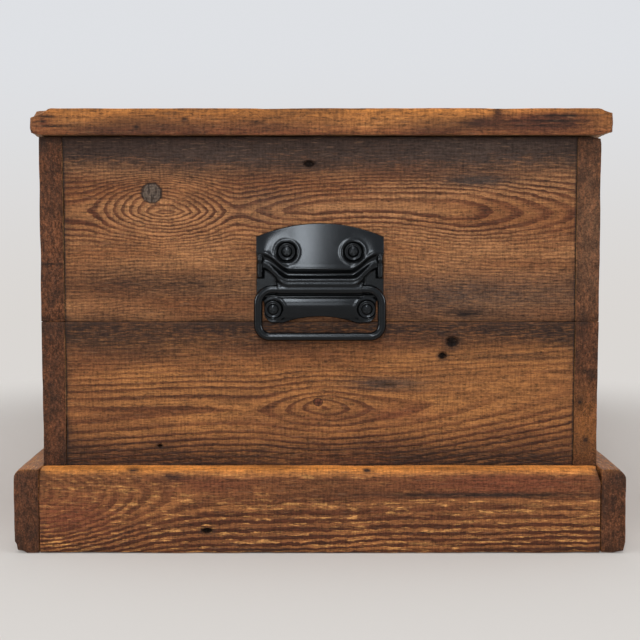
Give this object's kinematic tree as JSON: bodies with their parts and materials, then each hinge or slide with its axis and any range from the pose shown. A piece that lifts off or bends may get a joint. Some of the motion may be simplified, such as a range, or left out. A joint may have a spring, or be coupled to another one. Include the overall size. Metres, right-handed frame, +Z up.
{
  "type": "pine storage chest",
  "caption": "Low boarded pine storage chest on a plinth, with a flat lid hinged at the back and a black steel drop handle on each end.",
  "frame": {"origin": "on the floor under the middle of the chest", "axes": "+X along the chest towards the right end, front towards -Y, +Z up"},
  "size_m": [0.898, 0.462, 0.3344],
  "materials": {
    "carcass_pine": "dark waxed reclaimed pine, rough sawn",
    "plinth_pine": "dark waxed reclaimed pine, rough sawn",
    "lid_pine": "dark waxed reclaimed pine, worn edges",
    "inside_pine": "bare pine",
    "black_steel": "satin black lacquer",
    "hinge_steel": "dull steel",
    "iron": "dark iron"
  },
  "bodies": {
    "chest": {"front_upper_board": "carcass_pine", "front_lower_board": "carcass_pine", "back_upper_board": "carcass_pine", "back_lower_board": "carcass_pine", "right_upper_end_board": "carcass_pine", "right_lower_end_board": "carcass_pine", "left_upper_end_board": "carcass_pine", "left_lower_end_board": "carcass_pine", "front_plinth": "plinth_pine", "back_plinth": "plinth_pine", "right_plinth": "plinth_pine", "left_plinth": "plinth_pine", "floor_board_1": "inside_pine", "floor_board_2": "inside_pine", "floor_board_3": "inside_pine", "floor_board_4": "inside_pine", "front_cleat": "inside_pine", "back_cleat": "inside_pine", "right_cleat": "inside_pine", "left_cleat": "inside_pine", "right_handle_plate": "black_steel", "right_handle_screws": "black_steel", "left_handle_plate": "black_steel", "left_handle_screws": "black_steel", "right_hinge_lower_leaf": "hinge_steel", "right_hinge_pin": "hinge_steel", "left_hinge_lower_leaf": "hinge_steel", "left_hinge_pin": "hinge_steel", "hinge_lower_screws": "hinge_steel", "carcass_nails": "iron", "plinth_nails": "iron", "floor_nails": "iron", "cleat_screws": "iron"},
    "lid": {"lid_front_board": "lid_pine", "lid_middle_board": "lid_pine", "lid_back_board": "lid_pine", "lid_right_clamp": "lid_pine", "lid_left_clamp": "lid_pine", "right_hinge_upper_leaf": "hinge_steel", "left_hinge_upper_leaf": "hinge_steel", "hinge_upper_screws": "hinge_steel"},
    "right_bail": {"right_handle_bail": "black_steel"},
    "left_bail": {"left_handle_bail": "black_steel"}
  },
  "joints": [
    {"name": "lid_hinge", "type": "hinge", "parent": "chest", "child": "lid", "pos_m": [0, 0.2132, 0.3142], "axis": [-1, 0, 0], "range_deg": [0, 105]},
    {"name": "right_bail_pivot", "type": "hinge", "parent": "chest", "child": "right_bail", "pos_m": [0.43535, 0, 0.199], "axis": [0, -1, 0], "range_deg": [0, 90]},
    {"name": "left_bail_pivot", "type": "hinge", "parent": "chest", "child": "left_bail", "pos_m": [-0.43535, 0, 0.199], "axis": [0, 1, 0], "range_deg": [0, 90]}
  ]
}
